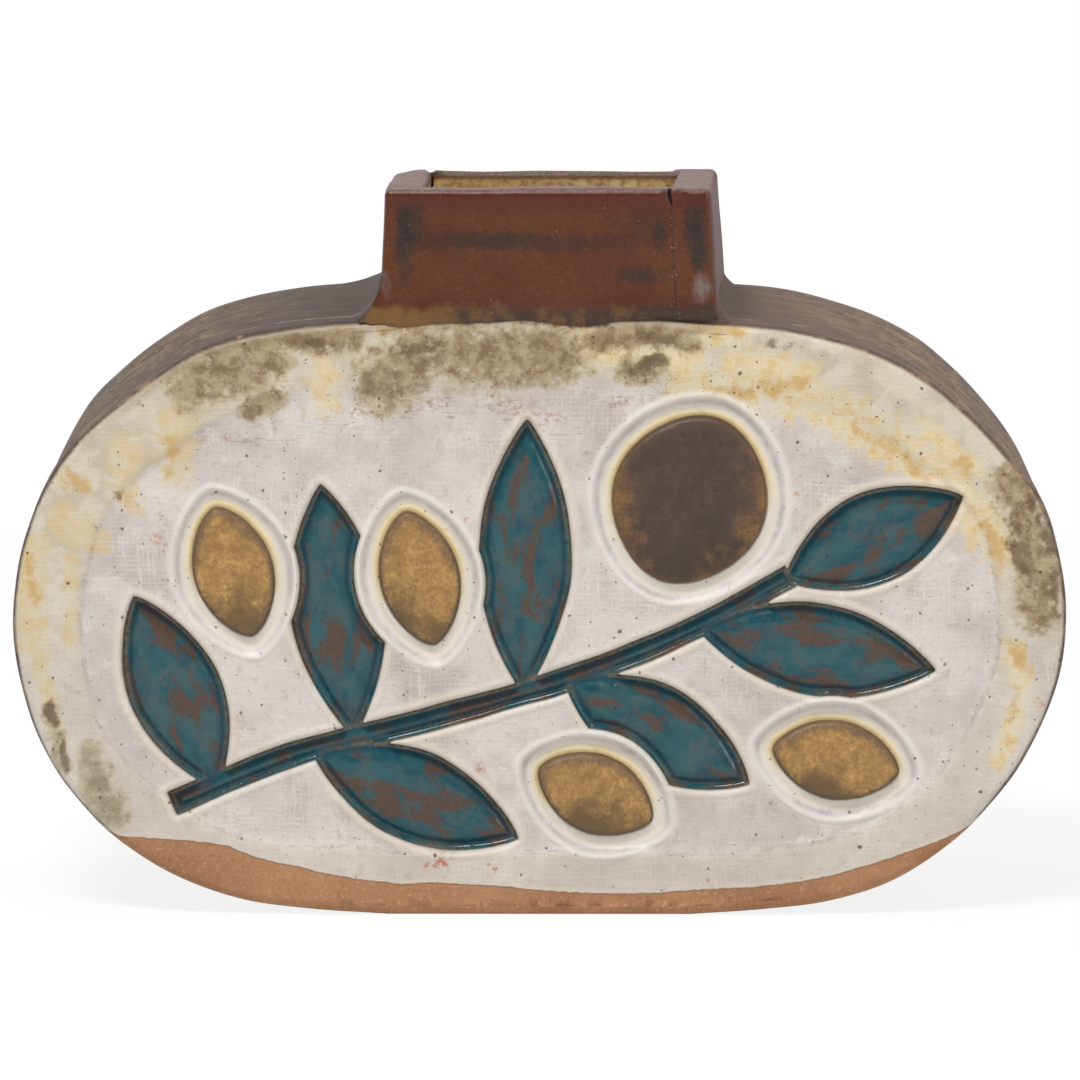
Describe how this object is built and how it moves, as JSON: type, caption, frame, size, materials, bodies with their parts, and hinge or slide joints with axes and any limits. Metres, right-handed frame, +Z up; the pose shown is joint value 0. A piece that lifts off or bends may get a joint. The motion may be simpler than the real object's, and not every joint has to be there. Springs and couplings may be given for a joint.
{
  "type": "slab-built stoneware vase",
  "caption": "Upright oval pillow vase of bent clay slabs with a rectangular neck, a wide mouth and a sunk leaf-branch relief on its front.",
  "frame": {"origin": "on the ground under the centre of the body's box", "axes": "+Z up; +X along the long side, to the right as seen from the front; -Y is the front, which carries the relief"},
  "size_m": [0.2678, 0.08, 0.1806],
  "materials": {
    "white_glaze": "satin",
    "wall_glaze": "satin",
    "bare_stoneware": "matte",
    "iron_glaze": "gloss",
    "ochre_glaze": "satin",
    "brown_glaze": "satin"
  },
  "bodies": {
    "root": {"front_slab": "white_glaze", "back_slab": "white_glaze", "base_strip": "bare_stoneware", "left_wall": "wall_glaze", "right_wall": "wall_glaze", "front_seam_coil": "bare_stoneware", "back_seam_coil": "bare_stoneware", "neck_front": "iron_glaze", "neck_right": "iron_glaze", "neck_back": "iron_glaze", "neck_left": "iron_glaze", "left_shoulder_fillet": "wall_glaze", "right_shoulder_fillet": "wall_glaze", "pod_tablet_1": "ochre_glaze", "pod_tablet_2": "ochre_glaze", "pod_tablet_3": "ochre_glaze", "pod_tablet_4": "ochre_glaze", "fruit_tablet": "brown_glaze"}
  },
  "joints": []
}
